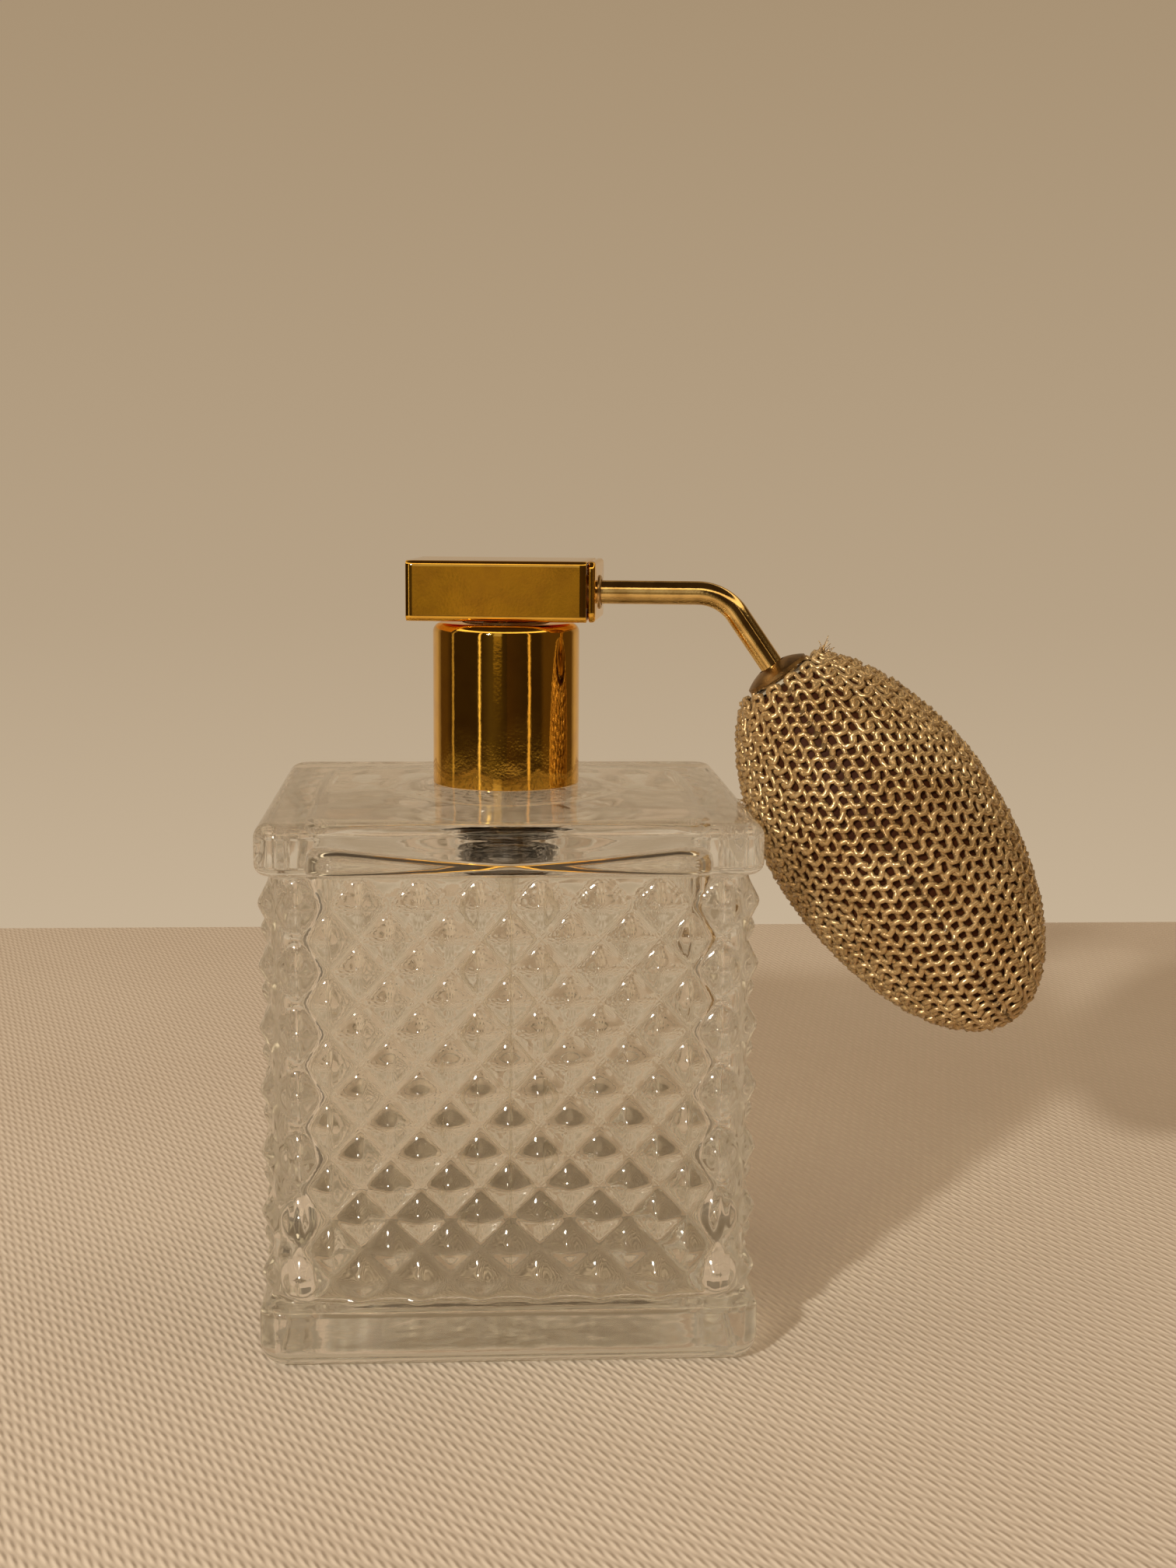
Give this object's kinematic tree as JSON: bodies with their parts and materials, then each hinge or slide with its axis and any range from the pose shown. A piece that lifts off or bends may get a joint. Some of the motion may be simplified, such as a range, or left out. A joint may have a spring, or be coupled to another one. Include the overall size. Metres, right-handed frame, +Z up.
{
  "type": "perfume atomiser",
  "caption": "Square pressed-glass perfume bottle with diamond-pattern sides, a gold screw collar and box spray head, and a bent tube to a net-covered rubber squeeze bulb.",
  "frame": {"origin": "middle of the bottle's flat base, on the surface it stands on", "axes": "+Z up along the bottle and neck, +X towards the bulb side, -Y the front; the spray head is turned 8 degrees about Z so that its bulb end comes forward"},
  "size_m": [0.1055, 0.064, 0.1019],
  "materials": {
    "glass": "clear pressed glass, polished, with a faint warm grey tint",
    "gold": "polished gold plating with handling marks",
    "tube_gold": "gold lacquered tube, slightly worn",
    "aged_brass": "dull aged brass",
    "inner_brass": "plain turned brass",
    "steel": "polished steel ball",
    "rubber": "dark red-brown matt rubber",
    "seal": "dark seal rubber",
    "plastic": "translucent off-white moulded plastic",
    "dark_plastic": "dark brown moulded plastic",
    "net": "knitted gold metallic yarn",
    "thread": "pale cotton thread"
  },
  "bodies": {
    "bottle": {"glass_bottle": "glass"},
    "seal": {"mouth_gasket": "seal"},
    "collar": {"collar_shell": "gold", "collar_liner": "dark_plastic", "thrust_washer": "inner_brass"},
    "head": {"head_shell": "gold", "spray_end_plate": "gold", "air_end_plate": "gold", "atomiser_block": "plastic", "spray_nozzle": "inner_brass", "air_jet": "inner_brass", "stem": "inner_brass", "seat_flange": "inner_brass", "dip_tube_ferrule": "inner_brass", "dip_tube": "plastic", "air_tube": "tube_gold", "tube_bush": "inner_brass"},
    "bulb": {"ferrule_dome": "aged_brass", "valve_body": "inner_brass", "ball_retainer": "inner_brass", "rubber_bulb": "rubber", "bulb_net": "net", "net_tie": "thread", "inlet_eyelet": "inner_brass"},
    "outlet_valve": {"outlet_ball": "steel"},
    "inlet_valve": {"inlet_flap": "rubber"}
  },
  "joints": [
    {"name": "lift_out", "type": "slide", "parent": "bottle", "child": "seal", "axis": [0, 0, 1], "range_m": [0, 0.08]},
    {"name": "head_swivel", "type": "hinge", "parent": "seal", "child": "head", "pos_m": [0, 0, 0.088], "axis": [0, 0, 1], "range_deg": [0, 16]},
    {"name": "collar_turn", "type": "hinge", "parent": "seal", "child": "collar", "pos_m": [0, 0, 0.082], "axis": [0, 0, 1], "range_deg": [0, 540]},
    {"name": "bulb_turn", "type": "hinge", "parent": "head", "child": "bulb", "pos_m": [0.03662, -0.00515, 0.08684], "axis": [0.5652, -0.0794, -0.8211], "continuous": true},
    {"name": "bulb_squeeze", "type": "slide", "parent": "bulb", "child": "outlet_valve", "axis": [-0.5652, 0.0794, 0.8211], "range_m": [0, 0.001], "stiffness_N_per_m": 5},
    {"name": "inlet_close", "type": "slide", "parent": "bulb", "child": "inlet_valve", "axis": [0.5652, -0.0794, -0.8211], "range_m": [0, 0.0004]}
  ],
  "couplings": [
    {"joint": "inlet_close", "follows": "bulb_squeeze", "ratio": 0.4}
  ]
}
